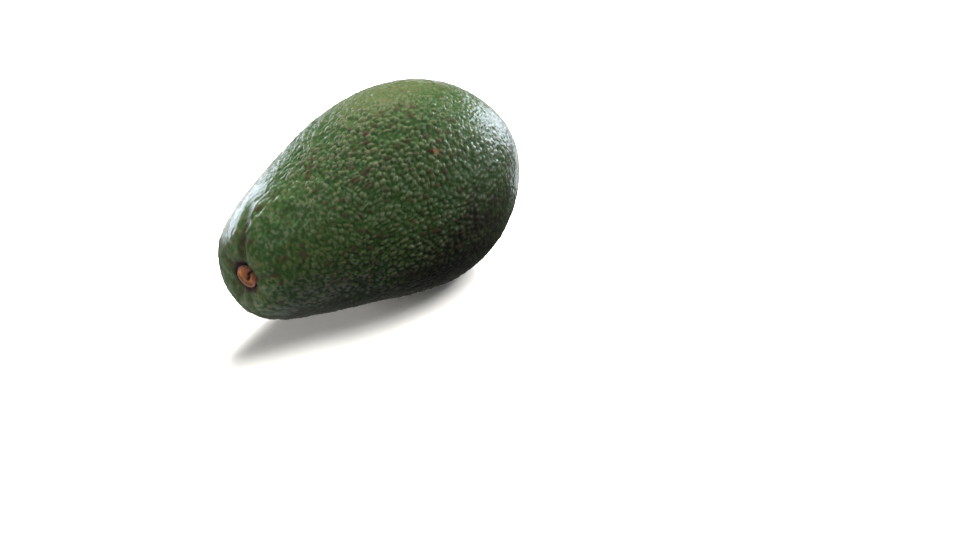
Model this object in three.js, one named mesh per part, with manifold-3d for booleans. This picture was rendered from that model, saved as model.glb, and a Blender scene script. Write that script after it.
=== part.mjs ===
// A whole avocado lying on its side: one pear-shaped fruit with a pebbled skin, and the dried
// stump of its stalk in a dimple at the narrow end.
// Millimetres, +Z up. X runs from the stalk end to the blossom end, and the table is at Z = 0.
// The fruit is worked out in a frame of its own, whose axis starts at the stalk end: X runs
// down the axis, Y is level, and Z is square to both. It is then tilted and set on the table.

import * as THREE from 'three';
import { ConvexHull } from 'three/addons/math/ConvexHull.js';
import { mergeVertices } from 'three/addons/utils/BufferGeometryUtils.js';
import Module from 'manifold-3d';

const wasm = await Module();
wasm.setup();

const { clamp, degToRad, lerp, radToDeg, smoothstep } = THREE.MathUtils;

// ---- Driving dimensions: the body
const fruitLength = 104;
const fruitWidth = 64.3;
const stalkEndPower = 0.62; // under 1 is blunter than an ellipse
const blossomEndPower = 0.9;
const taper = [1, -0.33, -0.12, 0.25]; // powers of the angle's cosine, which slim the neck
const neckSway = { y: -3.4, z: -1.9 }; // how far the neck's tip bends off the axis
const restingTilt = degToRad(4); // the blossom end lies higher
const flatDepth = 0.9; // what the resting spot takes off the round underside
const settleHeight = 2.5; // the relief fades out below this height over the table

// ---- Driving dimensions: the skin
const pebbleCount = 1800;
const pebbleHeight = 0.65;
const pebbleSpread = 0.4; // the heights differ by this share either way
const pebbleScatter = 0.32; // a pebble strays by up to this share of the pitch
const valleyDepth = 0.25;
const smoothNeck = { from: 4, to: 34, least: 0.45 }; // the pebbles grow along the neck
const swells = [
  // long low waves, by how many go round the body and how they wind along it
  { height: 0.4, around: 2, along: 0.045, phase: 0.6 },
  { height: 0.3, around: 3, along: -0.085, phase: 2.1 },
  { height: 0.16, around: 5, along: 0.12, phase: 4.0 },
];

// ---- Driving dimensions: the stalk end
const scarOffset = { y: -3.3, z: 2.7 }; // from the neck's tip
const scarLean = degToRad(12); // the scar faces this far off the axis, towards its offset
const dimple = { depth: 2.0, spread: 7.2, length: 9 };
const pleatStart = 3;
const pleats = [
  // creases that run out from the scar, by their bearing round it and how they curl away
  { bearing: 74, curl: -30, depth: 1.3, width: 1.9, reach: 22 },
  { bearing: 112, curl: 6, depth: 0.5, width: 1.8, reach: 13 },
  { bearing: 150, curl: 10, depth: 0.75, width: 1.6, reach: 18 },
  { bearing: 200, curl: 8, depth: 0.5, width: 2.2, reach: 13 },
  { bearing: 250, curl: -6, depth: 0.6, width: 2.0, reach: 14 },
  { bearing: 295, curl: -8, depth: 1.1, width: 1.8, reach: 17 },
  { bearing: 353, curl: 8, depth: 0.75, width: 2.0, reach: 16 },
];

// ---- Driving dimensions: the blossom end
const blossomTip = { y: 1.2, z: -0.8, height: 1.2, spread: 1.6 };
const tipRing = { depth: 0.45, radius: 3.6, spread: 1.5 };

// ---- Driving dimensions: the stalk's stump
const stumpRadius = 4.0;
const stumpSink = 2.2; // below the floor of the dimple
const stumpEdge = 0.45; // how far its rim rounds over
const clearance = 0.3;
const stumpDome = { y: 1.4, z: 0.3, height: 0.75, spread: 1.9 };
const stumpRim = { height: 0.4, radius: 3.2, spread: 0.6 };
const stumpCrack = { depth: 0.7, radius: 2.3, spread: 0.45, from: 70, to: 295, fade: 25 };
const stumpRings = 14;
const stumpSegments = 44;

const bell = (distance, spread) => Math.exp(-((distance / spread) ** 2));

function seededRandom(seed) {
  let state = seed;
  return () => {
    state = (state * 1664525 + 1013904223) % 4294967296;
    return state / 4294967296;
  };
}

function lookUp(inputs, outputs, value) {
  const found = inputs.findIndex((input) => input >= value);
  const high = found < 0 ? inputs.length - 1 : Math.max(found, 1);
  const share = (value - inputs[high - 1]) / (inputs[high] - inputs[high - 1]);
  return lerp(outputs[high - 1], outputs[high], clamp(share, 0, 1));
}

// ---- The body's outline: an angle of 0 is the stalk end, and of pi the blossom end

function outlineShape(angle) {
  const cosine = Math.cos(angle);
  const power = lerp(blossomEndPower, stalkEndPower, (1 + cosine) / 2);
  const slimming = taper.reduce((sum, share, degree) => sum + share * cosine ** degree, 0);
  return Math.max(Math.sin(angle), 0) ** power * slimming;
}

// Goes down the outline and adds up the skin's area, and its equal-angle latitude: on a ball
// with those latitudes, a small patch of skin keeps its shape.
function traceOutline(steps) {
  const angles = Array.from({ length: steps + 1 }, (_, k) => (Math.PI * k) / steps);
  const shapes = angles.map(outlineShape);
  const scale = fruitWidth / 2 / Math.max(...shapes);
  const radii = shapes.map((shape) => shape * scale);
  const stations = angles.map((angle) => (fruitLength * (1 - Math.cos(angle))) / 2);
  const areas = [0];
  const spans = [0];
  for (let k = 1; k <= steps; k++) {
    const slant = Math.hypot(stations[k] - stations[k - 1], radii[k] - radii[k - 1]);
    const radius = (radii[k] + radii[k - 1]) / 2;
    areas.push(areas[k - 1] + 2 * Math.PI * radius * slant);
    spans.push(spans[k - 1] + slant / radius);
  }
  const widest = radii.indexOf(Math.max(...radii));
  const latitudes = spans.map((span) => 2 * Math.atan(Math.exp(span - spans[widest])));
  return { angles, stations, radii, areas, latitudes, widestStation: stations[widest] };
}

const outline = traceOutline(1200);

// ---- From the fruit's own frame to the table's

const rest = new THREE.Matrix4().makeRotationY(-restingTilt);
const undersides = outline.stations.map(
  (station, k) => new THREE.Vector3(station, 0, -outline.radii[k]).applyMatrix4(rest).z,
);
rest.premultiply(new THREE.Matrix4().makeTranslation(0, 0, -flatDepth - Math.min(...undersides)));

// ---- The relief of the skin, in millimetres outwards

const scar = new THREE.Vector3(0, neckSway.y + scarOffset.y, neckSway.z + scarOffset.z);

function swellAt(point, angle, bearing) {
  const waves = swells.map(({ height, around, along, phase }) => (
    height * Math.sin(around * bearing + along * point.x + phase)));
  return Math.sin(angle) ** 2 * waves.reduce((sum, wave) => sum + wave, 0);
}

// The scar's hollow, and the pleats that gather the skin round it.
function stalkEndRelief(point) {
  const y = point.y - scar.y;
  const z = point.z - scar.z;
  const travel = point.distanceTo(scar);
  const hollow = dimple.depth * bell(Math.hypot(y, z), dimple.spread) * bell(point.x, dimple.length);
  return pleats.reduce((relief, { bearing, curl, depth, width, reach }) => {
    const turn = degToRad(bearing + (curl * travel) / reach);
    const out = y * Math.cos(turn) + z * Math.sin(turn);
    const across = z * Math.cos(turn) - y * Math.sin(turn);
    const length = smoothstep(out, 0, pleatStart) * (1 - smoothstep(travel, 0.4 * reach, reach));
    return relief - depth * length * bell(across, width);
  }, -hollow);
}

// The small raised tip where the flower was, in a shallow ring.
function blossomEndRelief(point) {
  if (point.x < fruitLength / 2) return 0;
  const distance = Math.hypot(point.y - blossomTip.y, point.z - blossomTip.z);
  return blossomTip.height * bell(distance, blossomTip.spread)
    - tipRing.depth * bell(distance - tipRing.radius, tipRing.spread);
}

// ---- The skin: a direction on the equal-angle ball gives a point, raised by its height

function skinPoint(direction, height) {
  const latitude = Math.acos(clamp(-direction.x, -1, 1));
  const bearing = Math.atan2(direction.z, direction.y);
  const angle = lookUp(outline.latitudes, outline.angles, latitude);
  const station = lookUp(outline.angles, outline.stations, angle);
  const radius = lookUp(outline.angles, outline.radii, angle);
  const sway = clamp(1 - station / outline.widestStation, 0, 1) ** 2;
  const point = new THREE.Vector3(
    station,
    radius * Math.cos(bearing) + neckSway.y * sway,
    radius * Math.sin(bearing) + neckSway.z * sway,
  );

  // Outwards is square to the outline, whose slope is taken over a small step of the angle.
  const step = 0.01;
  const before = Math.max(angle - step, 0);
  const after = Math.min(angle + step, Math.PI);
  const run = lookUp(outline.angles, outline.stations, after)
    - lookUp(outline.angles, outline.stations, before);
  const rise = lookUp(outline.angles, outline.radii, after)
    - lookUp(outline.angles, outline.radii, before);
  const outwards = new THREE.Vector3(-rise, run * Math.cos(bearing), run * Math.sin(bearing));

  const settled = smoothstep(point.clone().applyMatrix4(rest).z, 0, settleHeight);
  const neck = lerp(smoothNeck.least, 1, smoothstep(station, smoothNeck.from, smoothNeck.to));
  const relief = settled * (height * neck + swellAt(point, angle, bearing))
    + stalkEndRelief(point) + blossomEndRelief(point);
  point.addScaledVector(outwards.normalize(), relief).applyMatrix4(rest);
  point.z = Math.max(point.z, 0);
  return point;
}

// Pebble centres on a golden-angle spiral that gives each the same area of skin, scattered a
// little. The last one is the blossom end's tip.
function pebbleCentres(random) {
  const goldenAngle = Math.PI * (3 - Math.sqrt(5));
  const skinArea = outline.areas.at(-1);
  const pitch = Math.sqrt(skinArea / pebbleCount);
  const centres = Array.from({ length: pebbleCount - 1 }, (_, k) => {
    const area = (skinArea * (k + 0.5)) / pebbleCount;
    const latitude = lookUp(outline.areas, outline.latitudes, area);
    const radius = lookUp(outline.areas, outline.radii, area);
    const stray = ((pitch * Math.sin(latitude)) / radius) * pebbleScatter * 2;
    return new THREE.Vector3()
      .setFromSphericalCoords(1, latitude, k * goldenAngle)
      .add(new THREE.Vector3(random() - 0.5, random() - 0.5, random() - 0.5).multiplyScalar(stray))
      .normalize();
  });
  // Spherical coordinates are about Y, and the fruit's axis is X.
  const centresOnAxis = centres.map(({ x, y, z }) => new THREE.Vector3(-y, z, x));
  return [...centresOnAxis, new THREE.Vector3(1, 0, 0)];
}

// Neighbouring pebbles meet in a corner for each triangle of the centres' hull. Each pebble
// is a low cone from its centre down to the valley through its corners.
function pebbledSkin() {
  const random = seededRandom(20);
  const centres = pebbleCentres(random);
  const faces = new ConvexHull().setFromPoints(centres).faces;
  const centreOf = new Map(centres.map((centre, k) => [centre, k]));
  const cornerOf = new Map(faces.map((face, k) => [face, centres.length + k]));

  const tops = centres.map((centre) => skinPoint(
    centre, pebbleHeight * (1 + pebbleSpread * (2 * random() - 1))));
  const corners = faces.map(({ edge }) => {
    const middle = new THREE.Vector3();
    [edge, edge.next, edge.prev].forEach(({ vertex }) => middle.add(vertex.point));
    return skinPoint(middle.normalize(), -valleyDepth);
  });
  const triangles = faces.flatMap((face) => [face.edge, face.edge.next, face.edge.prev].flatMap(
    (side) => [centreOf.get(side.tail().point), cornerOf.get(side.twin.face), cornerOf.get(face)],
  ));
  return solidFrom([...tops, ...corners].flatMap((point) => point.toArray()), triangles);
}

// ---- Solids

function solidFrom(positions, triangles) {
  return new wasm.Manifold(new wasm.Mesh({
    numProp: 3,
    vertProperties: new Float32Array(positions),
    triVerts: new Uint32Array(triangles),
  }));
}

function solidFromGeometry(geometry) {
  geometry.deleteAttribute('normal');
  geometry.deleteAttribute('uv');
  const merged = mergeVertices(geometry);
  return solidFrom(merged.getAttribute('position').array, merged.getIndex().array);
}

function geometryOf(solid) {
  const { vertProperties, triVerts } = solid.getMesh();
  const geometry = new THREE.BufferGeometry();
  geometry.setAttribute('position', new THREE.BufferAttribute(vertProperties, 3));
  geometry.setIndex(new THREE.BufferAttribute(triVerts, 1));
  geometry.computeVertexNormals();
  return geometry;
}

// ---- The stalk's stump, in a frame of its own: +Y faces out of the scar, from its floor,
// X is level, and Z is up the scar

const stumpPlace = (() => {
  const offset = new THREE.Vector3(0, scarOffset.y, scarOffset.z).setLength(Math.sin(scarLean));
  const out = new THREE.Vector3(-Math.cos(scarLean), 0, 0).add(offset);
  const level = new THREE.Vector3().crossVectors(out, new THREE.Vector3(0, 0, 1)).normalize();
  const up = new THREE.Vector3().crossVectors(level, out);
  return new THREE.Matrix4().makeBasis(level, out, up)
    .setPosition(scar.clone().setX(dimple.depth))
    .premultiply(rest);
})();

function stumpTop(radius, bearing) {
  const x = radius * Math.cos(bearing);
  const z = radius * Math.sin(bearing);
  const dome = stumpDome.height * bell(Math.hypot(x - stumpDome.y, z - stumpDome.z), stumpDome.spread);
  const rim = stumpRim.height * bell(radius - stumpRim.radius, stumpRim.spread);
  const { depth, from, to, fade } = stumpCrack;
  const degrees = radToDeg(bearing);
  const run = smoothstep(degrees, from, from + fade) * (1 - smoothstep(degrees, to - fade, to));
  return dome + rim - run * depth * bell(radius - stumpCrack.radius, stumpCrack.spread);
}

// Rings from the middle of the top, over the rounded rim and down the wall to the base.
function stump() {
  const positions = [0, stumpTop(0, 0), 0];
  const rings = [];
  for (let k = 1; k <= stumpRings; k++) {
    const radius = (stumpRadius * k) / stumpRings;
    const drop = stumpEdge * smoothstep(radius, stumpRadius - 2 * stumpEdge, stumpRadius);
    rings.push({ radius, height: (bearing) => stumpTop(radius, bearing) - drop });
  }
  rings.push({ radius: stumpRadius, height: () => -stumpSink / 2 });
  rings.push({ radius: stumpRadius, height: () => clearance - stumpSink });
  for (const { radius, height } of rings) {
    for (let s = 0; s < stumpSegments; s++) {
      const bearing = (2 * Math.PI * s) / stumpSegments;
      positions.push(radius * Math.cos(bearing), height(bearing), radius * Math.sin(bearing));
    }
  }
  positions.push(0, clearance - stumpSink, 0);

  const triangles = [];
  const base = rings.length * stumpSegments + 1;
  for (let s = 0; s < stumpSegments; s++) {
    const next = (s + 1) % stumpSegments;
    triangles.push(0, 1 + next, 1 + s);
    for (let k = 1; k < rings.length; k++) {
      const inner = (k - 1) * stumpSegments + 1;
      const outer = inner + stumpSegments;
      triangles.push(inner + s, inner + next, outer + s, inner + next, outer + next, outer + s);
    }
    triangles.push(base, base - stumpSegments + s, base - stumpSegments + next);
  }
  return solidFrom(positions, triangles).transform(stumpPlace.elements);
}

function stumpSocket() {
  const radius = stumpRadius + clearance;
  const above = 6;
  const wall = [[0, -stumpSink], [radius, -stumpSink], [radius, above], [0, above]];
  const points = wall.map(([x, y]) => new THREE.Vector2(x, y));
  return solidFromGeometry(new THREE.LatheGeometry(points, 40)).transform(stumpPlace.elements);
}

// ---- The avocado, centred over its own length and width

const skinMaterial = new THREE.MeshStandardMaterial({ color: 0x35502b, roughness: 0.42, metalness: 0 });
const stalkMaterial = new THREE.MeshStandardMaterial({ color: 0x8a4a22, roughness: 0.75, metalness: 0 });

const fruit = new THREE.Mesh(geometryOf(pebbledSkin().subtract(stumpSocket())), skinMaterial);
fruit.name = 'fruit';
const stalkStump = new THREE.Mesh(geometryOf(stump()), stalkMaterial);
stalkStump.name = 'stalk_stump';

const avocado = new THREE.Group();
avocado.add(fruit, stalkStump);
const centre = new THREE.Box3().setFromObject(avocado, true).getCenter(new THREE.Vector3());
avocado.position.set(-centre.x, -centre.y, 0);

export default avocado;
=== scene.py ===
"""A whole avocado lying on its side on a pale table.

The loaded solids give the frame: X runs from the stalk end to the blossom end, Z is up, and
the table is at Z = 0. Shapes are worked out in millimetres, in the fruit's own frame, and
then set down where the solids lie.
"""

import bpy
import numpy as np
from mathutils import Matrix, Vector


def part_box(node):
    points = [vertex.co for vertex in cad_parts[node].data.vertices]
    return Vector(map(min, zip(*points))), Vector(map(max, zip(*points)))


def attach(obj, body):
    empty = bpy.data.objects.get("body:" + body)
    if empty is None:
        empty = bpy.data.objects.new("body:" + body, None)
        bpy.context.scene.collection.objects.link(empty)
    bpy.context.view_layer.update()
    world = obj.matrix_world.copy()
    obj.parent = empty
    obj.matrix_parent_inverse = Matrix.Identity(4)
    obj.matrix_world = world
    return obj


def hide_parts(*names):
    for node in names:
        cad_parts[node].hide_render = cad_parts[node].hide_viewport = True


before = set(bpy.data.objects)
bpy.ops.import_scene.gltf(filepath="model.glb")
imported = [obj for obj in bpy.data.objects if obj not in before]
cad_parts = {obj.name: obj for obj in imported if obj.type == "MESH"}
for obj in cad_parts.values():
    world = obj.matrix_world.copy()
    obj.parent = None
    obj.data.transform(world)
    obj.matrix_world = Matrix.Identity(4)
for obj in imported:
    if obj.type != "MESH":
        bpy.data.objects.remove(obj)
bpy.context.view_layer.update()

# ---------------------------------------------------------------------------------------
# The fruit's body. An avocado is a single berry: flesh round one stone, under a thin hard
# skin. It hangs by its narrow neck, which the stalk pulls a little to one side, and at
# rest it lies on its widest part, where a small patch of the skin is pressed flat.

fruit_length = 104.0
fruit_width = 64.3
stalk_end_power = 0.62  # under 1 is blunter than an ellipse
blossom_end_power = 0.9
taper = (0.25, -0.12, -0.33, 1.0)  # cubic in the angle's cosine, which slims the neck
neck_sway = np.array([0.0, -3.4, -1.9])  # how far the neck's tip bends off the axis
resting_tilt = np.radians(4.0)  # the blossom end lies higher
flat_depth = 0.9  # what the resting spot takes off the round underside
outline_steps = 2400


def cube_ball(squares):
    """Directions and quads of a ball: six square grids on the faces of a cube, each
    coordinate bent by a tangent so that the squares come out alike, then every point
    pulled to a length of one. Points that two grids share are made one."""
    rows, columns = np.meshgrid(np.arange(squares + 1), np.arange(squares + 1), indexing="ij")
    grids = np.empty((6, squares + 1, squares + 1, 3), int)
    for axis in range(3):
        for far in (0, 1):
            grid = grids[2 * axis + far]
            grid[..., axis] = far * squares
            grid[..., (axis + 1) % 3] = rows if far else columns
            grid[..., (axis + 2) % 3] = columns if far else rows
    numbers = grids @ np.array([(squares + 1) ** 2, squares + 1, 1])
    _, first, index = np.unique(numbers, return_index=True, return_inverse=True)
    index = index.reshape(numbers.shape)
    corners = (index[:, :-1, :-1], index[:, 1:, :-1], index[:, 1:, 1:], index[:, :-1, 1:])
    places = np.tan((grids.reshape(-1, 3)[first] / squares - 0.5) * np.pi / 2)
    directions = places / np.linalg.norm(places, axis=1, keepdims=True)
    return directions, np.stack(corners, -1).reshape(-1, 4)


def smooth_step(low, high, value):
    """0 below low, 1 above high, and three squares less two cubes of the share between."""
    share = np.clip((value - low) / (high - low), 0, 1)
    return share * share * (3 - 2 * share)


def bell(distance, spread):
    """Gaussian: e to the power of minus the square of distance over spread."""
    return np.exp(-((distance / spread) ** 2))


def outline_table(steps):
    """The body's outline from the stalk end to the blossom end. The station goes as one
    less the angle's cosine. The radius goes as the sine to a power, which changes from
    one end to the other, times the taper. The latitude spreads a ball's points over the
    skin: half way between equal areas and equal angles."""
    angle = np.linspace(0, np.pi, steps + 1)
    cosine = np.cos(angle)
    power = blossom_end_power + (stalk_end_power - blossom_end_power) * (1 + cosine) / 2
    radius = np.maximum(np.sin(angle), 0) ** power * np.polyval(taper, cosine)
    radius *= fruit_width / 2 / radius.max()
    station = fruit_length * (1 - cosine) / 2
    slant = np.hypot(np.diff(station), np.diff(radius))
    middle = (radius[1:] + radius[:-1]) / 2
    area = np.concatenate([[0], np.cumsum(middle * slant)])
    span = np.concatenate([[0], np.cumsum(slant / middle)])
    equal_area = np.arccos(np.clip(1 - 2 * area / area[-1], -1, 1))
    equal_angle = 2 * np.arctan(np.exp(span - span[radius.argmax()]))
    return {"angle": angle, "station": station, "radius": radius,
            "latitude": (equal_area + equal_angle) / 2}


outline = outline_table(outline_steps)
widest_station = outline["station"][outline["radius"].argmax()]
tilt_cosine = np.cos(resting_tilt)
tilt_sine = np.sin(resting_tilt)
underside = outline["station"] * tilt_sine - outline["radius"] * tilt_cosine
table_height = underside.min() + flat_depth


def tilt(vectors):
    """A turn about Y by the resting tilt, which lifts the blossom end."""
    x, y, z = np.moveaxis(vectors, -1, 0)
    return np.stack([x * tilt_cosine - z * tilt_sine, y, x * tilt_sine + z * tilt_cosine], -1)


def lay_down(points):
    """The resting tilt, and a drop that leaves the flat spot's depth under the table."""
    return tilt(points) - np.array([0, 0, table_height])


def body_surface(directions):
    """Smooth skin for directions on a ball. The polar angle, looked up in the outline,
    gives station and radius, and the other angle is the bearing round the axis. The neck
    sways by the square of how far it is from the widest place. Outwards is square to the
    outline, from the table's own differences."""
    latitude = np.arccos(np.clip(-directions[:, 0], -1, 1))
    bearing = np.arctan2(directions[:, 2], directions[:, 1])
    angle = np.interp(latitude, outline["latitude"], outline["angle"])
    station = np.interp(angle, outline["angle"], outline["station"])
    radius = np.interp(angle, outline["angle"], outline["radius"])
    run = np.interp(angle, outline["angle"], np.gradient(outline["station"]))
    rise = np.interp(angle, outline["angle"], np.gradient(outline["radius"]))
    round_axis = np.stack([np.zeros_like(bearing), np.cos(bearing), np.sin(bearing)], -1)
    sway = np.clip(1 - station / widest_station, 0, 1) ** 2
    points = radius[:, None] * round_axis + sway[:, None] * neck_sway
    points[:, 0] += station
    outwards = run[:, None] * round_axis
    outwards[:, 0] -= rise
    return points, outwards / np.linalg.norm(outwards, axis=1, keepdims=True), angle, bearing


# ---------------------------------------------------------------------------------------
# The stalk end, the blossom end and the long low swells. The skin is drawn in to the scar
# where the stalk grew, in pleats that fade out along the neck. At the other end a small
# raised tip is what is left of the flower.

scar = neck_sway + np.array([0.0, -3.6, 2.9])
scar_width = 1.17  # it is wider across than it is high
dimple = {"depth": 2.0, "spread": 7.2, "length": 9.0}
socket = {"depth": 1.6, "inner": 3.7, "outer": 4.4}  # the pit that the stump sits in
pleat_start = 3.0
pleat_fade = 0.4  # the share of its reach where a pleat starts to fade
pleats = (
    # bearing round the scar, curl along the way, depth, width, reach
    (97, -52, 1.15, 1.4, 27),
    (130, 6, 0.35, 1.6, 13),
    (166, -8, 0.7, 0.9, 18),
    (203, 8, 0.5, 1.6, 14),
    (246, 14, 0.6, 1.4, 14),
    (288, 8, 1.1, 1.4, 14),
    (328, -6, 0.5, 1.5, 12),
    (8, 12, 0.9, 1.5, 16),
    (52, -14, 0.4, 1.8, 15),
)
blossom_tip = {"y": 1.2, "z": -0.8, "height": 0.95, "spread": 2.2}
tip_ring = {"depth": 0.45, "radius": 3.6, "spread": 1.5}
swells = (
    # height, waves round the body, winding along it, phase
    (0.4, 2, 0.045, 0.6),
    (0.3, 3, -0.085, 2.1),
    (0.16, 5, 0.12, 4.0),
)


def swell_relief(points, angle, bearing):
    """A sum of sines of the bearing and the station, dying out at both ends as the square
    of the polar angle's sine."""
    waves = sum(height * np.sin(around * bearing + along * points[:, 0] + phase)
                for height, around, along, phase in swells)
    return np.sin(angle) ** 2 * waves


def pleat_relief(points):
    """Grooves along rays from the scar that curl as they go: a Gaussian across the ray,
    fading in at the scar and out by the pleat's reach."""
    y, z = (points - scar)[:, 1:].T
    travel = np.linalg.norm(points - scar, axis=1)
    relief = np.zeros(len(points))
    for bearing, curl, depth, width, reach in pleats:
        turn = np.radians(bearing + curl * travel / reach)
        out = y * np.cos(turn) + z * np.sin(turn)
        across = z * np.cos(turn) - y * np.sin(turn)
        length = smooth_step(0, pleat_start, out)
        length *= 1 - smooth_step(pleat_fade * reach, reach, travel)
        relief -= depth * length * bell(across, width)
    return relief


def scar_relief(points):
    """A Gaussian hollow round the scar, with a round pit in its floor that has a smooth
    step for a wall."""
    across, up = (points - scar)[:, 1:].T
    distance = np.hypot(across / scar_width, up)
    near_end = bell(points[:, 0], dimple["length"])
    pit = socket["depth"] * (1 - smooth_step(socket["inner"], socket["outer"], distance))
    return -near_end * (dimple["depth"] * bell(distance, dimple["spread"]) + pit)


def blossom_relief(points):
    """A Gaussian tip inside a Gaussian ring, on the blossom end's half only."""
    distance = np.hypot(points[:, 1] - blossom_tip["y"], points[:, 2] - blossom_tip["z"])
    tip = blossom_tip["height"] * bell(distance, blossom_tip["spread"])
    tip -= tip_ring["depth"] * bell(distance - tip_ring["radius"], tip_ring["spread"])
    return np.where(points[:, 0] > fruit_length / 2, tip, 0)


# ---------------------------------------------------------------------------------------
# The pebbled skin. Small cushions of harder tissue cover the rind, crowded and uneven,
# high and crisp round the body and low on the neck. Many end in a pale or a red-brown
# corky fleck. The rind is deep green and waxy, darker between the pebbles as painted shade.

millimetre = 0.001  # in metres, which meshes, lamps and the camera are set in
skin_squares = 128  # along each edge of the cube that the skin's grid starts from
pebble_pitch = 1.5
pebble_peak = 2.8  # 1 is a cone, 2 a dome, and more has a flatter top
pebble_height = 0.92
pebble_foot = 0.12  # the share of a pebble's height that lies under the smooth skin
# pebbles are long along the body where the place rises slowly, and long round it at the end
pebble_places = {
    "station": (0.0, 38.0, 66.0, 84.0, 104.0),
    "place": (0.0, 38.0, 60.0, 78.0, 98.0),
}
stray_waves = (
    # reach, pitch and salt of the noise that moves pebbles out of their lattice
    (0.9, 9.0, 50),
    (0.4, 3.5, 55),
    (0.22, 1.3, 65),
)
vigour = {"usual": 0.85, "drift": 0.25, "pitch": 14.0, "own": 0.25}  # of the pebbles
grit = {"height": 0.06, "pitch": 1.0, "level": 0.5}
ripple = {"height": 0.32, "pitch": 3.0}
salts = {"pebbles": 10, "grit": 30, "wrinkles": 60, "vigour": 70, "ripple": 80, "shaded_ripe": 95}
settle_height = 2.5  # the relief fades out below this height over the table
# the relief is lower to both ends, and a least share of it is left there
roughest = {"station": 54.0, "before": 45.0, "beyond": 27.0, "least": (0.26, 0.15)}
# a calm place that runs off an end of the fruit starts or ends out there
off_stalk_end = (-2.0, -1.0)
off_blossom_end = (200.0, 201.0)
calm_places = {
    # where the relief is lower still: the way the skin faces there, how squarely it has to,
    # the stations between which the place starts and ends, and the share that is left
    "top": {"facing": (0.0, 0.45, 0.89), "turn": (0.70, 0.96), "start": (40.0, 61.0),
            "end": off_blossom_end, "least": 0.5},
    "neck": {"facing": (-0.50, 0.47, 0.73), "turn": (0.86, 0.97), "start": off_stalk_end,
             "end": (16.0, 27.0), "least": 0.4},
    "flank": {"facing": (-0.40, 0.76, 0.51), "turn": (0.80, 0.98), "start": (12.0, 24.0),
              "end": (50.0, 64.0), "least": 0.5},
    "underside": {"facing": (-0.20, -0.45, -0.87), "turn": (0.62, 0.97),
                  "start": off_stalk_end, "end": off_blossom_end, "least": 0.5},
}
# the neck's wrinkles run along it, and a least share of them is left on its lower side
wrinkles = {
    "height": 0.52, "stretch": (2.9, 2.4, 2.4), "start": (2.0, 14.0), "end": (14.0, 34.0),
    "facing": (-0.25, 0.50, 0.83), "turn": (-0.1, 0.6), "least": 0.3,
}
# red-brown tips: the least and the most share of pebbles that have one, the way of facing
# where they are most, how high on a pebble a tip starts and is full, what the calm top takes
# off it, and how strong the weakest is
rusty = {
    "least": 0.035, "most": 0.12, "facing": (-0.33, -0.68, 0.65), "turn": (0.5, 0.95),
    "tip": (0.15, 0.5), "calmed": 0.6, "weakest": 0.4,
}
sleek_below = (0.25, 0.55)  # the roughness under which the wax lies unbroken
deepest_pleat = 1.3
cork_collar = {"strength": 1.2, "width": 1.3}
cork_tip = 1.4
blemishes = (
    # bearing, station, radius of a corky spot on the skin
    (132, 62.6, 0.95),
)
shaded_ripe_patches = (
    # bearing, station, radius of a brown-black patch: painted shade, with some ripening in it
    (-174, 72, 15.0),
    (-158, 54, 11.0),
)
shaded_ripe_mottle = {"usual": 0.8, "drift": 0.5, "pitch": 4.5}


def lattice_random(cells, salt):
    """A fixed number from 0 to 1 for each whole-number cell: its coordinates are each
    multiplied by a large odd number and joined, and the bits are then mixed twice."""
    bits = cells.astype(np.int64) * np.array([73856093, 19349663, 83492791])
    bits = (bits[..., 0] ^ bits[..., 1] ^ bits[..., 2] ^ (salt * 40503)) & 0xFFFFFFFF
    for _ in range(2):
        bits = ((bits ^ (bits >> 15)) * 0x2C1B3C6D) & 0xFFFFFFFF
        bits ^= bits >> 13
    return bits / 0xFFFFFFFF


def value_noise(points, pitch, salt):
    """Smooth noise from -1 to 1: random values on a cubic lattice, blended between the
    eight corners round each point by smooth steps."""
    cell = np.floor(points / pitch)
    share = smooth_step(0, 1, points / pitch - cell)
    total = np.zeros(len(points))
    for corner in np.ndindex(2, 2, 2):
        weight = np.prod(np.where(corner, share, 1 - share), axis=1)
        total += weight * lattice_random(cell + corner, salt)
    return 2 * total - 1


def crowded_cells(points, pitch, salt):
    """Cells round one random seed in each cube of a lattice. Gives the distance to the
    nearest seed over the distance to the next, 0 at a seed and 1 where cells meet, and a
    fixed random number for the nearest seed."""
    cell = np.floor(points / pitch)
    nearest = np.full(len(points), np.inf)
    second = np.full(len(points), np.inf)
    name = np.zeros(len(points))
    for step in np.ndindex(3, 3, 3):
        cube = cell + step - 1
        seed = cube + np.stack([lattice_random(cube, salt + k) for k in range(3)], -1)
        distance = np.linalg.norm(points / pitch - seed, axis=1)
        closer = distance < nearest
        second = np.where(closer, nearest, np.minimum(second, distance))
        name = np.where(closer, lattice_random(cube, salt + 3), name)
        nearest = np.where(closer, distance, nearest)
    return nearest / second, name


def spots_on_skin(points, spots):
    """A sum of Gaussians of the distance to places on the outline, each given by its
    bearing, station and radius."""
    total = np.zeros(len(points))
    for bearing, station, radius in spots:
        turn = np.radians(bearing)
        reach = np.interp(station, outline["station"], outline["radius"])
        centre = np.array([station, reach * np.cos(turn), reach * np.sin(turn)])
        total += bell(np.linalg.norm(points - centre, axis=1), radius)
    return total


def pebble_cells(points):
    """Pebbles on cells whose lattice is pushed about by noise and stretched by station. A
    pebble falls off as a power of how near its cell's edge is, times its vigour. Gives it
    with the pebbles' numbers and the pushed points."""
    stray = np.stack([sum(reach * value_noise(points, pitch, salt + k)
                          for reach, pitch, salt in stray_waves) for k in range(3)], -1)
    warped = points + stray
    warped[:, 0] = np.interp(warped[:, 0], pebble_places["station"], pebble_places["place"])
    edge, name = crowded_cells(warped, pebble_pitch, salts["pebbles"])
    strength = vigour["usual"] + vigour["own"] * (name - 0.5)
    strength += vigour["drift"] * value_noise(points, vigour["pitch"], salts["vigour"])
    return (1 - edge ** pebble_peak) * strength, name, warped


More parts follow.
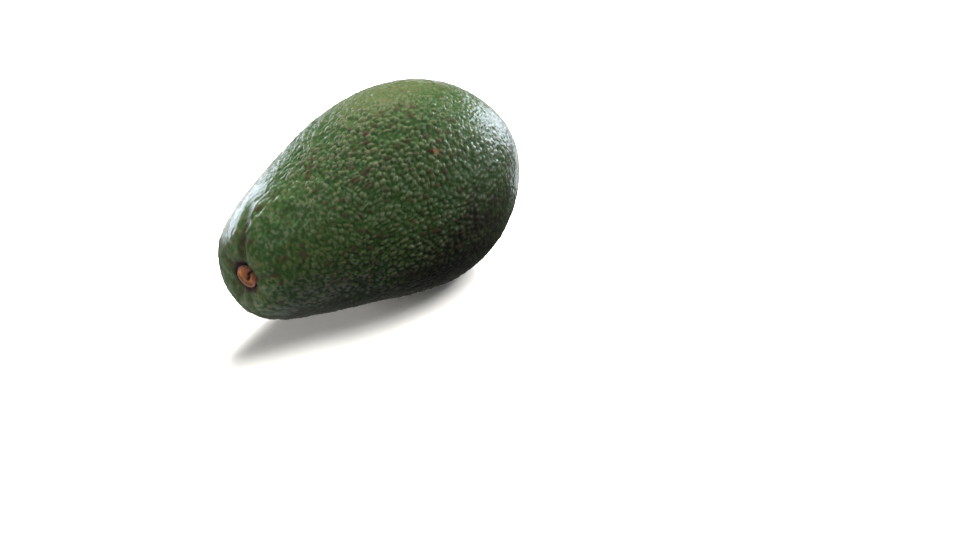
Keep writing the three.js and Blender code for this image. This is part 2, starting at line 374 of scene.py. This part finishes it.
def place_share(points, outwards, place):
    """How far a point belongs to a place: a smooth step of how squarely the skin faces its
    way, times one of the station that starts it, times 1 less one that ends it."""
    share = smooth_step(*place["turn"], outwards @ place["facing"])
    share *= smooth_step(*place["start"], points[:, 0])
    return share * (1 - smooth_step(*place["end"], points[:, 0]))


def skin_roughness(points, outwards):
    """The share of relief: a Gaussian of the station with a spread and a least value for
    each side of the roughest, lowered by each calm place. Gives those places' shares too."""
    past = points[:, 0] - roughest["station"]
    rough = bell(past, np.where(past < 0, roughest["before"], roughest["beyond"]))
    least = np.where(past < 0, *roughest["least"])
    rough = least + (1 - least) * rough
    calm = {name: place_share(points, outwards, place) for name, place in calm_places.items()}
    for name, share in calm.items():
        rough *= 1 - (1 - calm_places[name]["least"]) * share
    return rough, calm


def neck_wrinkles(points, outwards):
    """Stretched noise, faded in and out by smooth steps of the station, and lowered to its
    least by a smooth step of how the skin faces."""
    share = smooth_step(*wrinkles["start"], points[:, 0])
    share *= 1 - smooth_step(*wrinkles["end"], points[:, 0])
    upper = smooth_step(*wrinkles["turn"], outwards @ wrinkles["facing"])
    share *= wrinkles["least"] + (1 - wrinkles["least"]) * upper
    stretched = points / wrinkles["stretch"]
    return wrinkles["height"] * share * value_noise(stretched, 1.0, salts["wrinkles"])


def rusty_tips(outwards, pebble, name, calmness):
    """Red-brown tips: a smooth step of the pebble, on pebbles whose number is under the
    share for the way they face, and weaker the further under it the number is."""
    share = smooth_step(*rusty["turn"], outwards @ rusty["facing"])
    share = rusty["least"] + (rusty["most"] - rusty["least"]) * share
    tips = np.where(name < share, smooth_step(*rusty["tip"], pebble), 0)
    tips *= 1 - rusty["calmed"] * calmness
    return tips * (rusty["weakest"] + (1 - rusty["weakest"]) * name / share)


def pebbled_skin():
    """The body's smooth surface, moved along its normal by the sum of its reliefs, and then
    pressed flat on the table. Gives points, quads and the marks that the rind is coloured
    by."""
    directions, quads = cube_ball(skin_squares)
    points, outwards, angle, bearing = body_surface(directions)
    pebble, name, warped = pebble_cells(points)
    rough, calm = skin_roughness(points, outwards)
    grit_edge, _ = crowded_cells(points, grit["pitch"], salts["grit"])
    fine = pebble_height * rough * (pebble - pebble_foot)
    fine += grit["height"] * (grit["level"] - grit_edge ** 2)
    fine += (1 - calm["neck"]) * neck_wrinkles(points, outwards)
    fine += ripple["height"] * rough * value_noise(warped, ripple["pitch"], salts["ripple"])
    scar_distance = np.linalg.norm((points - scar) / [1, scar_width, 1], axis=1)
    fine *= smooth_step(socket["inner"], dimple["spread"], scar_distance)
    pleating = pleat_relief(points)
    settled = smooth_step(0, settle_height, lay_down(points)[:, 2])
    relief = settled * (fine + swell_relief(points, angle, bearing))
    relief += pleating + scar_relief(points) + blossom_relief(points)
    laid = lay_down(points + relief[:, None] * outwards)
    laid[:, 2] = np.maximum(laid[:, 2], 0)

    collar_edge = socket["outer"] + cork_collar["width"]
    collar = 1 - smooth_step(socket["outer"], collar_edge, scar_distance)
    tip = np.array([fruit_length, blossom_tip["y"], blossom_tip["z"]])
    tip_distance = np.linalg.norm(points - tip, axis=1)
    mottling = value_noise(points, shaded_ripe_mottle["pitch"], salts["shaded_ripe"])
    mottling = shaded_ripe_mottle["usual"] + shaded_ripe_mottle["drift"] * mottling
    marks = {
        "pebble": pebble,
        "pebble_name": name,
        "rust": rusty_tips(outwards, pebble, name, calm["top"]),
        "calm": calm["top"],
        "pleat": np.clip(-pleating, 0, deepest_pleat),
        "cork": cork_collar["strength"] * collar + bell(tip_distance, cork_tip),
        "spot": spots_on_skin(points, blemishes),
        # brown-black patches of painted shade, with some ripening in them
        "shaded_ripe": spots_on_skin(points, shaded_ripe_patches) * mottling,
        "sleek": 1 - smooth_step(*sleek_below, rough),
    }
    return laid, quads, marks


def new_piece(name, points, faces, marks):
    """A smooth mesh from points in millimetres and quads, with each mark kept as one
    number a point."""
    mesh = bpy.data.meshes.new(name)
    mesh.vertices.add(len(points))
    mesh.vertices.foreach_set("co", (points * millimetre).astype(np.float32).ravel())
    mesh.loops.add(faces.size)
    mesh.loops.foreach_set("vertex_index", faces.astype(np.int32).ravel())
    mesh.polygons.add(len(faces))
    mesh.polygons.foreach_set("loop_start", np.arange(0, faces.size, 4, dtype=np.int32))
    mesh.update(calc_edges=True)
    mesh.validate()
    mesh.polygons.foreach_set("use_smooth", np.ones(len(mesh.polygons), bool))
    for mark, values in marks.items():
        attribute = mesh.attributes.new(mark, "FLOAT", "POINT")
        attribute.data.foreach_set("value", values.astype(np.float32))
    piece = bpy.data.objects.new(name, mesh)
    bpy.context.scene.collection.objects.link(piece)
    return piece


skin_points, skin_quads, skin_marks = pebbled_skin()
lowest, highest = (np.array(corner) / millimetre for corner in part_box("fruit"))
setting = (lowest + highest) / 2 - (skin_points.min(0) + skin_points.max(0)) / 2
setting[2] = 0
skin = new_piece("avocado_skin", skin_points + setting, skin_quads, skin_marks)
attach(skin, "root")
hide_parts("fruit")


def new_group(name, inputs, outputs):
    """An empty shader node group with a vector and named numbers going in and named numbers
    coming out, and its two end nodes."""
    group = bpy.data.node_groups.new(name, "ShaderNodeTree")
    sockets = group.interface
    sockets.new_socket("Vector", in_out="INPUT", socket_type="NodeSocketVector")
    for socket_name, value in inputs.items():
        made = sockets.new_socket(socket_name, in_out="INPUT", socket_type="NodeSocketFloat")
        made.default_value = value
    for socket_name in outputs:
        sockets.new_socket(socket_name, in_out="OUTPUT", socket_type="NodeSocketFloat")
    return group, group.nodes.new("NodeGroupInput"), group.nodes.new("NodeGroupOutput")


def new_node(tree, kind, **settings):
    """A node of a kind, with its properties set by name."""
    node = tree.nodes.new(kind)
    for setting_name, value in settings.items():
        setattr(node, setting_name, value)
    return node


# Grown grain: broad patches, fine mottling and crowded cells, for rind and cork alike. A
# cell is 1 at its middle and falls with the square of the distance. The height is the
# cells' and a share of the mottling.
mottle_height = 0.3
grain, grain_in, grain_out = new_group(
    "grown_grain",
    {"Patch Scale": 40.0, "Mottle Scale": 300.0, "Cell Scale": 800.0},
    ("Patches", "Mottle", "Cells", "Height"),
)
patches = new_node(grain, "ShaderNodeTexNoise")
patches.inputs["Detail"].default_value = 3.0
mottle = new_node(grain, "ShaderNodeTexNoise")
mottle.inputs["Detail"].default_value = 5.0
mottle.inputs["Roughness"].default_value = 0.62
cells = new_node(grain, "ShaderNodeTexVoronoi")
for texture, scale in ((patches, "Patch Scale"), (mottle, "Mottle Scale"), (cells, "Cell Scale")):
    grain.links.new(grain_in.outputs["Vector"], texture.inputs["Vector"])
    grain.links.new(grain_in.outputs[scale], texture.inputs["Scale"])
square = new_node(grain, "ShaderNodeMath", operation="MULTIPLY")
grain.links.new(cells.outputs["Distance"], square.inputs[0])
grain.links.new(cells.outputs["Distance"], square.inputs[1])
dome = new_node(grain, "ShaderNodeMath", operation="SUBTRACT", use_clamp=True)
dome.inputs[0].default_value = 1.0
grain.links.new(square.outputs[0], dome.inputs[1])
height = new_node(grain, "ShaderNodeMath", operation="MULTIPLY_ADD")
height.inputs[1].default_value = mottle_height
grain.links.new(mottle.outputs["Fac"], height.inputs[0])
grain.links.new(dome.outputs[0], height.inputs[2])
grain.links.new(patches.outputs["Fac"], grain_out.inputs["Patches"])
grain.links.new(mottle.outputs["Fac"], grain_out.inputs["Mottle"])
grain.links.new(dome.outputs[0], grain_out.inputs["Cells"])
grain.links.new(height.outputs[0], grain_out.inputs["Height"])


def new_material(name):
    """A material, its tree and its Principled BSDF."""
    made = bpy.data.materials.new(name)
    made.use_nodes = True
    return made, made.node_tree, made.node_tree.nodes["Principled BSDF"]


def mark_value(tree, name):
    """The number that a mesh keeps at each point under this name."""
    return new_node(tree, "ShaderNodeAttribute", attribute_name=name).outputs["Fac"]


def remap(tree, value, between, becomes):
    """A straight change from one range to another, held at its ends."""
    node = new_node(tree, "ShaderNodeMapRange")
    tree.links.new(value, node.inputs["Value"])
    for socket_name, number in zip(("From Min", "From Max"), between):
        node.inputs[socket_name].default_value = number
    for socket_name, number in zip(("To Min", "To Max"), becomes):
        node.inputs[socket_name].default_value = number
    return node.outputs["Result"]


def mark_range(tree, name, between, becomes):
    """A mesh's own number, changed in range."""
    return remap(tree, mark_value(tree, name), between, becomes)


def arithmetic(tree, operation, first, second):
    """One sum of two numbers, each either a socket or a plain number."""
    node = new_node(tree, "ShaderNodeMath", operation=operation)
    for k, value in enumerate((first, second)):
        if isinstance(value, float):
            node.inputs[k].default_value = value
        else:
            tree.links.new(value, node.inputs[k])
    return node.outputs[0]


def tint(tree, share, under, over, blend="MIX"):
    """Lays one colour over another by a share. A colour is a socket or red, green, blue. The
    node's colours go in at 6 and 7, and come out at 2."""
    node = new_node(tree, "ShaderNodeMix", data_type="RGBA", blend_type=blend)
    tree.links.new(share, node.inputs["Factor"])
    for k, colour in ((6, under), (7, over)):
        if isinstance(colour, tuple):
            node.inputs[k].default_value = (*colour, 1.0)
        else:
            tree.links.new(colour, node.inputs[k])
    return node.outputs[2]


def broken_up(tree, share, mottling, left):
    """A share times fine mottling, which leaves the least and the most of it given."""
    broken = remap(tree, mottling, broken_between, left)
    return arithmetic(tree, "MULTIPLY", share, broken)


def colour_steps(tree, value, steps, interpolation="LINEAR"):
    """A colour ramp through places and their colours."""
    node = new_node(tree, "ShaderNodeValToRGB")
    node.color_ramp.interpolation = interpolation
    tree.links.new(value, node.inputs["Fac"])
    elements = node.color_ramp.elements
    while len(elements) < len(steps):
        elements.new(0.5)
    for element, (place, colour) in zip(elements, steps):
        element.position = place
        element.color = (*colour, 1.0)
    return node.outputs["Color"]


def grown_grain(tree, patch_scale, mottle_scale, cell_scale):
    """The grain group on object coordinates, with a material's own scales."""
    place = new_node(tree, "ShaderNodeTexCoord")
    node = new_node(tree, "ShaderNodeGroup", node_tree=grain)
    tree.links.new(place.outputs["Object"], node.inputs["Vector"])
    node.inputs["Patch Scale"].default_value = patch_scale
    node.inputs["Mottle Scale"].default_value = mottle_scale
    node.inputs["Cell Scale"].default_value = cell_scale
    return node.outputs


bump_depth = 0.2


def bump_grain(tree, bsdf, height, strength):
    """A slight bump for grain that is finer than the mesh."""
    bump = new_node(tree, "ShaderNodeBump")
    bump.inputs["Strength"].default_value = strength
    bump.inputs["Distance"].default_value = bump_depth * millimetre
    tree.links.new(height, bump.inputs["Height"])
    tree.links.new(bump.outputs["Normal"], bsdf.inputs["Normal"])


broken_between = (0.3, 0.6)  # the mottling that leaves the least, and the most
rind_ranges = {
    # between which two values of a mark or of the grain, and what those two become
    "cells": ((0.3, 1.0), (-0.26, 0.20)),
    "mottling": ((0.3, 0.7), (-0.15, 0.15)),
    "patches": ((0.38, 0.62), (0.0, 0.8)),
    "flecks": ((0.45, 0.72), (0.0, 0.8)),
    "calm": ((0.1, 0.9), (0.4, 0.75)),
    "shaded_ripe": ((0.1, 0.9), (0.0, 0.93)),
    "pleat": ((0.12, 0.8), (0.0, 0.85)),
    "spot": ((0.2, 0.75), (0.0, 0.9)),
    "gloss": ((0.3, 0.7), (0.38, 0.50)),
    "rust's gloss": ((0.0, 1.0), (0.0, 0.25)),
    "wax": ((0.25, 0.65), (0.05, 1.0)),
    "rust's wax": ((0.0, 1.0), (1.0, 0.05)),
    "pleat's wax": ((0.01, 0.2), (1.0, 0.05)),
    "ripe wax": ((0.1, 0.7), (1.0, 0.3)),
}
rust_left = (0.6, 0.95)
pleat_shade_left = (0.5, 1.0)
collar_left = (0.7, 1.0)
collar_dullness = 0.35
sleek_wax = 0.85
rind_bump = 0.3
rind_greens_valley_shade = (
    # how high on a pebble, and the colour there, darker low down as painted shade
    (0.05, (0.0118, 0.0285, 0.0056)),
    (0.40, (0.0193, 0.0382, 0.0091)),
    (0.70, (0.0260, 0.0415, 0.0119)),
    (1.0, (0.0425, 0.0495, 0.0200)),
)
fleck_colours = (
    # from which of the pebbles' numbers on, and the colour of their tops
    (0.0, (0.042, 0.026, 0.014)),
    (0.14, (0.046, 0.042, 0.017)),
    (0.34, (0.047, 0.056, 0.022)),
    (0.56, (0.036, 0.050, 0.0165)),
)
patch_tint = (0.78, 0.95, 0.92)
# a lighter olive for the calm top, partly painted light from above
calm_olive_top_light = (0.053, 0.064, 0.0255)
# the brown-black of painted shade and ripening
shade_and_ripe_black = (0.011, 0.010, 0.007)
rust_brown = (0.024, 0.010, 0.006)
# painted shade in the pleats' grooves
pleat_shade_brown = (0.017, 0.015, 0.009)
collar_brown = (0.015, 0.008, 0.008)
spot_orange = (0.125, 0.060, 0.030)

rind, tree, bsdf = new_material("avocado_rind")
rind_grain = grown_grain(tree, patch_scale=38.0, mottle_scale=600.0, cell_scale=850.0)
mottling = rind_grain["Mottle"]
# the pebble's height, the fine cells and the mottling pick the green; the low places are darker
# as painted shade
pebble_top = arithmetic(tree, "ADD", mark_value(tree, "pebble"),
                        remap(tree, rind_grain["Cells"], *rind_ranges["cells"]))
pebble_top = arithmetic(tree, "ADD", pebble_top,
                        remap(tree, mottling, *rind_ranges["mottling"]))
green = colour_steps(tree, pebble_top, rind_greens_valley_shade)
patch_share = remap(tree, rind_grain["Patches"], *rind_ranges["patches"])
green = tint(tree, patch_share, green, patch_tint, "MULTIPLY")
fleck_colour = colour_steps(tree, mark_value(tree, "pebble_name"), fleck_colours, "CONSTANT")
green = tint(tree, remap(tree, pebble_top, *rind_ranges["flecks"]), green, fleck_colour)
# the calm top is tinted a lighter olive, partly as painted light from above
lit_calm_share = remap(tree, pebble_top, *rind_ranges["calm"])
lit_calm_share = arithmetic(tree, "MULTIPLY", mark_value(tree, "calm"), lit_calm_share)
green = tint(tree, lit_calm_share, green, calm_olive_top_light)
# the brown-black patches are painted shade, with some ripening in them
green = tint(tree, mark_range(tree, "shaded_ripe", *rind_ranges["shaded_ripe"]), green, shade_and_ripe_black)
rust = broken_up(tree, mark_value(tree, "rust"), mottling, rust_left)
green = tint(tree, rust, green, rust_brown)
# the pleats' grooves are darkened: painted shade
pleat_shade_share = mark_range(tree, "pleat", *rind_ranges["pleat"])
green = tint(tree, broken_up(tree, pleat_shade_share, mottling, pleat_shade_left), green, pleat_shade_brown)
collar_share = broken_up(tree, mark_value(tree, "cork"), mottling, collar_left)
green = tint(tree, collar_share, green, collar_brown)
green = tint(tree, mark_range(tree, "spot", *rind_ranges["spot"]), green, spot_orange)
tree.links.new(green, bsdf.inputs["Base Color"])

dull = arithmetic(tree, "MULTIPLY", mark_value(tree, "cork"), collar_dullness)
dull = arithmetic(tree, "ADD", dull, remap(tree, rust, *rind_ranges["rust's gloss"]))
gloss = arithmetic(tree, "ADD", remap(tree, mottling, *rind_ranges["gloss"]), dull)
tree.links.new(gloss, bsdf.inputs["Roughness"])
# the wax is on the pebbles' tops and on smooth skin, and wears off on rust, on pleats,
# and on the brown-black patches of painted shade and ripening
waxed = arithmetic(tree, "MULTIPLY", remap(tree, pebble_top, *rind_ranges["wax"]),
                   remap(tree, rust, *rind_ranges["rust's wax"]))
sleekness = arithmetic(tree, "MULTIPLY", mark_value(tree, "sleek"), sleek_wax)
waxed = arithmetic(tree, "MAXIMUM", waxed, sleekness)
for mark, range_name in (("pleat", "pleat's wax"), ("shaded_ripe", "ripe wax")):
    left = mark_range(tree, mark, *rind_ranges[range_name])
    waxed = arithmetic(tree, "MULTIPLY", waxed, left)
tree.links.new(waxed, bsdf.inputs["Coat Weight"])
bsdf.inputs["Specular IOR Level"].default_value = 0.3
bsdf.inputs["Coat Roughness"].default_value = 0.12
bump_grain(tree, bsdf, rind_grain["Height"], rind_bump)
skin.data.materials.append(rind)

# ---------------------------------------------------------------------------------------
# The stump of the stalk. When the fruit is picked, the stalk snaps at its joint and leaves
# a disc of wood that dries to orange-brown cork, domed to one side, with a curved crack.

stump_radius = 3.3
stump_shift = -0.2  # it grew a little to one side of its pit
stump_sink = 1.9  # how deep its wall goes
stump_edge = 0.45  # how far its rim rounds over
stump_profile = {"wall": 0.8, "base": 0.92}  # how far along it the wall and the base start
scar_lean = np.radians(15.0)
stump_waves = (
    # height, waves round the outline, phase
    (0.03, 2, 0.5),
    (0.02, 3, 1.9),
)
stump_lobes = (
    # place across, place up, height, spread across, spread up
    (1.45, 0.7, 0.85, 1.15, 1.9),
    (-2.1, -0.2, 0.55, 0.8, 1.3),
    (0.2, -1.2, 0.25, 1.2, 0.7),
)
stump_low_side = (1.5, -1.5)  # from up to down, where the rim starts and is full
stump_rim = {"height": 0.35, "radius": 3.1, "spread": 0.45, "inside": (0.7, 0.2)}
crevice = {"path": ((-1.5, 2.3), (-0.95, 1.0), (-0.45, -0.5)), "depth": 0.95, "width": 0.42}
rim_groove = {
    "path": ((2.2, -0.5), (1.4, -1.8), (0.0, -2.35), (-1.3, -2.25), (-2.2, -1.5)),
    "depth": 0.32, "width": 0.4, "darkness": 0.55,
}
groove_drift = {"reach": 0.4, "pitch": 1.1, "salt": 93}
stump_grain = (
    # height, pitch, salt
    (0.05, 0.5, 90),
    (0.08, 1.3, 91),
)
stump_rings = 72
stump_segments = 180


def path_share(y, z, path, width):
    """Gaussian of the distance to a path of straight runs, each distance taken square to
    the run and from its ends past them."""
    distance = np.full(y.shape, np.inf)
    for (y0, z0), (y1, z1) in zip(path[:-1], path[1:]):
        run = (y - y0) * (y1 - y0) + (z - z0) * (z1 - z0)
        run = np.clip(run / ((y1 - y0) ** 2 + (z1 - z0) ** 2), 0, 1)
        away = np.hypot(y - y0 - run * (y1 - y0), z - z0 - run * (z1 - z0))
        distance = np.minimum(distance, away)
    return bell(distance, width)


def stump_surface():
    """A closed button on a grid of two parameters: one goes from the middle of the top
    over the rim and down the wall to the middle of the base, and the other goes round.
    Its height is a sum of Gaussian lobes and a Gaussian rim less two Gaussian grooves."""
    way = np.linspace(0, 1, stump_rings)
    turn = np.linspace(0, 2 * np.pi, stump_segments, endpoint=False)
    wall_start, base_start = stump_profile["wall"], stump_profile["base"]
    top = np.clip(way / wall_start, 0, 1)
    top = (smooth_step(0, 1, top) + top) / 2
    radius = stump_radius * top * (1 - np.clip((way - base_start) / (1 - base_start), 0, 1))
    radius, turn = np.meshgrid(radius, turn, indexing="ij")
    wave = 1 + sum(height * np.sin(waves * turn + phase) for height, waves, phase in stump_waves)
    y = radius * np.cos(turn) * wave
    z = radius * np.sin(turn) * wave
    place = np.stack([y, z, np.zeros_like(y)], -1).reshape(-1, 3)
    drift = value_noise(place, groove_drift["pitch"], groove_drift["salt"]).reshape(y.shape)
    drift *= groove_drift["reach"]
    split = path_share(y + drift, z, crevice["path"], crevice["width"])
    groove = path_share(y, z + drift, rim_groove["path"], rim_groove["width"])
    low_side = smooth_step(*stump_low_side, z)
    height = sum(tallness * np.exp(-((y - across) / wide) ** 2 - ((z - up) / tall) ** 2)
                 for across, up, tallness, wide, tall in stump_lobes)
    rim_bell = bell(radius - stump_rim["radius"], stump_rim["spread"])
    height += stump_rim["height"] * low_side * rim_bell
    height -= crevice["depth"] * split + rim_groove["depth"] * groove
    height -= stump_edge * smooth_step(stump_radius - 2 * stump_edge, stump_radius, radius)
    for roughness, pitch, salt in stump_grain:
        height += roughness * value_noise(place, pitch, salt).reshape(y.shape)
    wall = np.clip((way - wall_start) / (base_start - wall_start), 0, 1)[:, None]
    height = height * (1 - wall) - stump_sink * wall
    rim_start, rim_full = (stump_rim["radius"] - inside for inside in stump_rim["inside"])
    marks = {
        "crack": np.maximum(split, rim_groove["darkness"] * groove) * (1 - wall),
        "lift": height,
        "rim": low_side * smooth_step(rim_start, rim_full, radius),
        "radius": radius / stump_radius,
    }
    return y * scar_width + stump_shift, z, height, marks


def stump_quads():
    """Quads between neighbouring rings, closed round the seam. The first and last rings
    have no radius, so their points are merged into one."""
    ring = np.arange(stump_rings * stump_segments).reshape(stump_rings, stump_segments)
    ring[0] = ring[0, 0]
    ring[-1] = ring[-1, 0]
    following = np.roll(ring, -1, axis=1)
    corners = (ring[:-1], ring[1:], following[1:], following[:-1])
    return np.stack(corners, -1).reshape(-1, 4)


offset = (scar - neck_sway) / np.linalg.norm(scar - neck_sway)
out_of_scar = np.array([-np.cos(scar_lean), 0, 0]) + offset * np.sin(scar_lean)
level = np.cross(out_of_scar, [0, 0, 1])
level /= np.linalg.norm(level)
up_scar = np.cross(level, out_of_scar)
y, z, height, stump_marks = stump_surface()
stump_floor = scar + [dimple["depth"], 0, 0]
stump_points = stump_floor + y[..., None] * level + z[..., None] * up_scar
stump_points += height[..., None] * out_of_scar
stump_points = (lay_down(stump_points) + setting).reshape(-1, 3)
stump = new_piece("stalk_stump_cork", stump_points, stump_quads(),
                  {name: mark.ravel() for name, mark in stump_marks.items()})
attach(stump, "root")
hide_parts("stalk_stump")

cork_ranges = {
    # between which two values of a mark or of the grain, and what those two become
    "lift": ((-0.5, 0.95), (0.0, 1.0)),
    "patches": ((0.4, 0.65), (0.0, 0.35)),
    "crack": ((0.2, 0.8), (0.0, 0.9)),
    "edge": ((0.88, 1.0), (0.0, 0.9)),
    "dust": ((0.5, 0.8), (0.0, 0.35)),
    "gloss": ((0.3, 0.7), (0.5, 0.75)),
}
rim_paleness = 0.7
cork_bump = 0.5
cork_browns = (
    # the share from its lowest to its highest, and the colour there
    (0.0, (0.018, 0.007, 0.005)),
    (0.35, (0.070, 0.024, 0.010)),
    (0.65, (0.150, 0.050, 0.016)),
    (1.0, (0.270, 0.078, 0.022)),
)
patch_brown = (0.085, 0.040, 0.014)
rim_pink = (0.175, 0.080, 0.048)
crack_black = (0.028, 0.008, 0.004)
edge_black = (0.018, 0.009, 0.010)
dust = (0.30, 0.15, 0.085)

cork, tree, bsdf = new_material("dried_stalk_cork")
cork_grain = grown_grain(tree, patch_scale=180.0, mottle_scale=1400.0, cell_scale=1800.0)
brown = colour_steps(tree, mark_range(tree, "lift", *cork_ranges["lift"]), cork_browns)
patch_share = remap(tree, cork_grain["Patches"], *cork_ranges["patches"])
brown = tint(tree, patch_share, brown, patch_brown)
rim_share = arithmetic(tree, "MULTIPLY", mark_value(tree, "rim"), rim_paleness)
brown = tint(tree, rim_share, brown, rim_pink)
brown = tint(tree, mark_range(tree, "crack", *cork_ranges["crack"]), brown, crack_black)
brown = tint(tree, mark_range(tree, "radius", *cork_ranges["edge"]), brown, edge_black)
brown = tint(tree, remap(tree, cork_grain["Mottle"], *cork_ranges["dust"]), brown, dust)
tree.links.new(brown, bsdf.inputs["Base Color"])
gloss = remap(tree, cork_grain["Mottle"], *cork_ranges["gloss"])
tree.links.new(gloss, bsdf.inputs["Roughness"])
bump_grain(tree, bsdf, cork_grain["Height"], cork_bump)
stump.data.materials.append(cork)

# ---------------------------------------------------------------------------------------
# The table is a wide sheet of matt white board. It is stage, not part of the avocado, and
# what the rind mirrors of it is left to the board glows among the lamps.

table_size = 4.0
bpy.ops.mesh.primitive_plane_add(size=table_size)
table = bpy.context.object
table.name = "table"
board, tree, bsdf = new_material("white_board")
bsdf.inputs["Base Color"].default_value = (0.88, 0.88, 0.88, 1)
bsdf.inputs["Roughness"].default_value = 0.9
table.data.materials.append(board)
table.visible_diffuse = False
table.visible_glossy = False

# ---------------------------------------------------------------------------------------
# The camera is a long lens looking down on the stalk end. It is placed by how large the
# avocado shows and by where the middle of its widest section falls in the picture.

lens = 85.0
sensor = 36.0
picture_width = 960
picture_height = 540
camera_azimuth = np.radians(-39.1)
camera_elevation = np.radians(33.0)
pixels_per_mm = 3.27
middle_pixel = (402.7, 186.7)


def towards(azimuth, elevation):
    """The direction from the avocado to a place seen at this azimuth and elevation."""
    level_share = np.cos(elevation)
    return Vector((np.sin(azimuth) * level_share, -np.cos(azimuth) * level_share,
                   np.sin(elevation)))


to_camera = towards(camera_azimuth, camera_elevation)
right = Vector((np.cos(camera_azimuth), np.sin(camera_azimuth), 0))
above = to_camera.cross(right)
middle = Vector(lay_down(np.array([widest_station, 0, 0])) + setting)
eye = middle + to_camera * (lens / sensor * picture_width / pixels_per_mm)
eye -= right * (middle_pixel[0] - picture_width / 2) / pixels_per_mm
eye -= above * (picture_height / 2 - middle_pixel[1]) / pixels_per_mm
camera = bpy.data.objects.new("camera", bpy.data.cameras.new("camera"))
camera.data.lens = lens
camera.data.sensor_width = sensor
camera.location = eye * millimetre
camera.rotation_mode = "QUATERNION"
camera.rotation_quaternion = to_camera.to_track_quat("Z", "Y")
bpy.context.scene.collection.objects.link(camera)
bpy.context.scene.camera = camera
bpy.context.scene.view_settings.view_transform = "Standard"

# ---------------------------------------------------------------------------------------
# The light is a soft studio: a key box and a broad sheen panel high behind the fruit, a softer
# box to the right and a low fill to the left. Pale windows, hazy white walls and the white
# board behind the fruit and under its neck light nothing, and only show in its wax.

warm_white = (1.0, 0.97, 0.92)
cool_white = (0.78, 0.86, 1.0)
board_white = (0.92, 0.96, 1.0)
world_white = (1.0, 0.98, 0.94, 1)
world_strength = 0.12
softboxes = (
    # name, azimuth from the camera's, elevation, distance, width, height, power
    ("overhead_softbox", 178, 42, 1.0, 0.34, 0.34, 52),
    ("right_softbox", 89, 54, 1.0, 0.5, 0.5, 20.0),
    ("left_fill", -62, 6, 0.8, 0.4, 0.2, 10.8),
)
sheens = (
    # the same values
    ("top_sheen", 158, 62, 1.1, 0.75, 0.7, 2.4),
)
mirrored = (
    # the same values
    ("left_window", -135, 6, 0.8, 0.46, 0.36, 2.4),
    ("left_window_head", -141, 32, 0.8, 0.14, 0.14, 0.45),
    ("right_window", 145, 1, 0.8, 0.36, 0.30, 1.5),
    ("right_window_foot", 150, -22, 0.8, 0.34, 0.30, 0.12),
    ("right_window_head", 129, 20, 0.8, 0.26, 0.22, 1.9),
    ("left_wall", -48, 68, 1.0, 0.9, 0.9, 1.85),
    ("right_wall", 91, 19, 1.0, 1.0, 0.6, 2.6),
    ("front_wall", -28, 28, 1.4, 1.1, 1.0, 0.95),
)
box_kinds = (
    # boxes, their colour, whether they light the fruit, whether they show in its wax
    (softboxes, warm_white, True, False),
    (sheens, warm_white, True, True),
    (mirrored, cool_white, False, True),
)
glow_height = 2.0
glows = (
    # name, how far it lies to the camera's right and behind the fruit, width, depth, power
    ("board_glow_behind", -0.24, 0.34, 0.66, 0.6, 1.3),
    ("board_glow_left", -0.33, 0.0, 0.56, 0.4, 0.25),
    ("board_glow_front", -0.045, -0.13, 0.10, 0.17, 0.018),
)


def new_lamp(name, width, depth, power, colour):
    """A rectangular lamp of a size in metres, linked to the scene."""
    lamp = bpy.data.lights.new(name, "AREA")
    lamp.shape = "RECTANGLE"
    lamp.size = width
    lamp.size_y = depth
    lamp.energy = power
    lamp.color = colour
    holder = bpy.data.objects.new(name, lamp)
    bpy.context.scene.collection.objects.link(holder)
    return holder


for boxes, colour, lights_fruit, shows_in_wax in box_kinds:
    for name, azimuth, elevation, reach, width, tall, power in boxes:
        holder = new_lamp(name, width, tall, power, colour)
        direction = towards(camera_azimuth + np.radians(azimuth), np.radians(elevation))
        holder.location = middle * millimetre + direction * reach
        holder.rotation_mode = "QUATERNION"
        holder.rotation_quaternion = direction.to_track_quat("Z", "Y")
        holder.visible_diffuse = lights_fruit
        holder.visible_glossy = shows_in_wax

backwards = -towards(camera_azimuth, 0.0)
for name, across, behind, width, depth, power in glows:
    holder = new_lamp(name, width, depth, power, board_white)
    holder.location = middle * millimetre + right * across + backwards * behind
    holder.location.z = glow_height * millimetre
    holder.rotation_mode = "XYZ"
    holder.rotation_euler = (np.pi, 0, camera_azimuth)
    holder.visible_diffuse = False
    holder.visible_camera = False

world = bpy.data.worlds.new("studio")
world.use_nodes = True
background = world.node_tree.nodes["Background"]
background.inputs["Color"].default_value = world_white
background.inputs["Strength"].default_value = world_strength
bpy.context.scene.world = world
